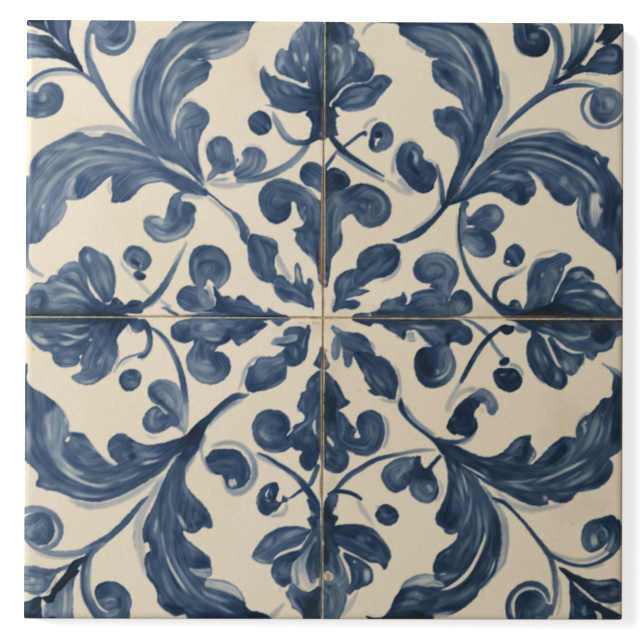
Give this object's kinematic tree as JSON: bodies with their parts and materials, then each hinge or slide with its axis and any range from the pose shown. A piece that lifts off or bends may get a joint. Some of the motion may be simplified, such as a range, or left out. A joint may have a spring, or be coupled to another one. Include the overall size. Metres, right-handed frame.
{
  "type": "glazed ceramic wall tile",
  "caption": "Square glazed wall tile with rolled edges, a face scored into quarters, a painted blue scroll pattern and a keyed back.",
  "frame": {"origin": "middle of the back's bed plane, on which the tile lies", "axes": "+Z out of the glazed face, +Y towards the top of the painted pattern, +X to its right"},
  "size_m": [0.152, 0.152, 0.008],
  "materials": {
    "glaze": "satin tin glaze, aged cream with cobalt blue brush painting; unglazed buff clay on the back and lower edges"
  },
  "bodies": {
    "root": {"tile": "glaze"}
  },
  "joints": []
}
